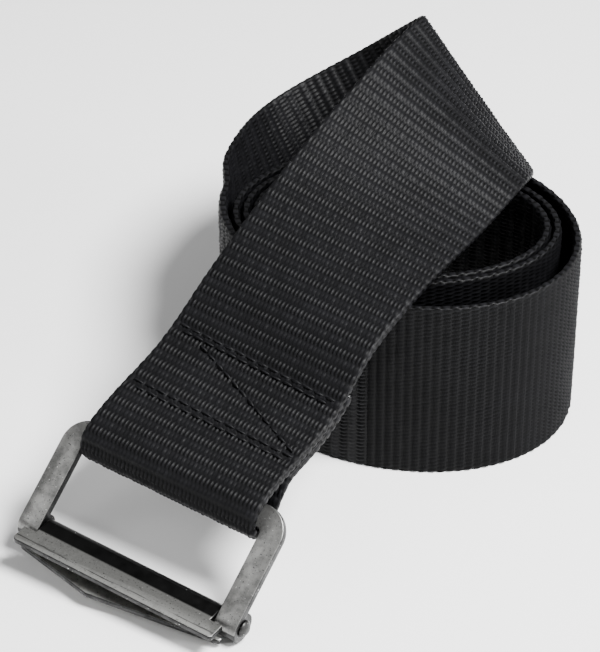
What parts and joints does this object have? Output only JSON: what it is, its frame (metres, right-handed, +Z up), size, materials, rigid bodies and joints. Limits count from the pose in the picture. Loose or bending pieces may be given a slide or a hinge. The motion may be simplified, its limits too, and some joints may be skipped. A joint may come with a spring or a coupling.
{
  "type": "rolled web belt with open clamp buckle",
  "caption": "Rolled ribbed nylon web belt with a sewn-on open steel buckle that has a hinged clamp lever.",
  "frame": {"origin": "middle of the footprint on the ground the roll stands on", "axes": "+Z up along the roll's axis, +Y from the buckle end towards the fold behind the roll, +X to the right seen from the buckle"},
  "size_m": [0.1411, 0.1814, 0.0799],
  "materials": {
    "webbing_black": "ribbed nylon webbing, slight sheen",
    "thread_black": "bonded nylon thread",
    "frame_steel": "tumbled satin",
    "lever_steel": "tumbled satin, scratched",
    "pin_steel": "satin"
  },
  "bodies": {
    "rolled_webbing": {"webbing_sealed_tip": "webbing_black", "webbing_inner_turn": "webbing_black", "webbing_middle_turn": "webbing_black", "webbing_outer_turn": "webbing_black", "webbing_leaving_run": "webbing_black", "webbing_rear_run": "webbing_black", "webbing_climbing_run": "webbing_black", "webbing_fold": "webbing_black", "webbing_upper_front_run": "webbing_black", "webbing_lower_front_run": "webbing_black", "webbing_buckle_loop": "webbing_black", "webbing_sewn_tail": "webbing_black", "stitch_rear_row_a": "thread_black", "stitch_rear_row_b": "thread_black", "stitch_diagonal": "thread_black", "stitch_front_row_a": "thread_black", "stitch_front_row_b": "thread_black"},
    "buckle": {"buckle_frame": "frame_steel", "hinge_pin": "pin_steel"},
    "lever": {"clamp_lever": "lever_steel"}
  },
  "joints": [
    {"name": "buckle_swing", "type": "hinge", "parent": "rolled_webbing", "child": "buckle", "pos_m": [-0.0303, -0.0533, 0.0244], "axis": [0.8323, -0.5509, -0.061], "range_deg": [-120, 45]},
    {"name": "lever_clamp", "type": "hinge", "parent": "buckle", "child": "lever", "pos_m": [-0.04116, -0.06767, 0.00603], "axis": [0.8323, -0.5509, -0.061], "range_deg": [-57, 38]}
  ]
}
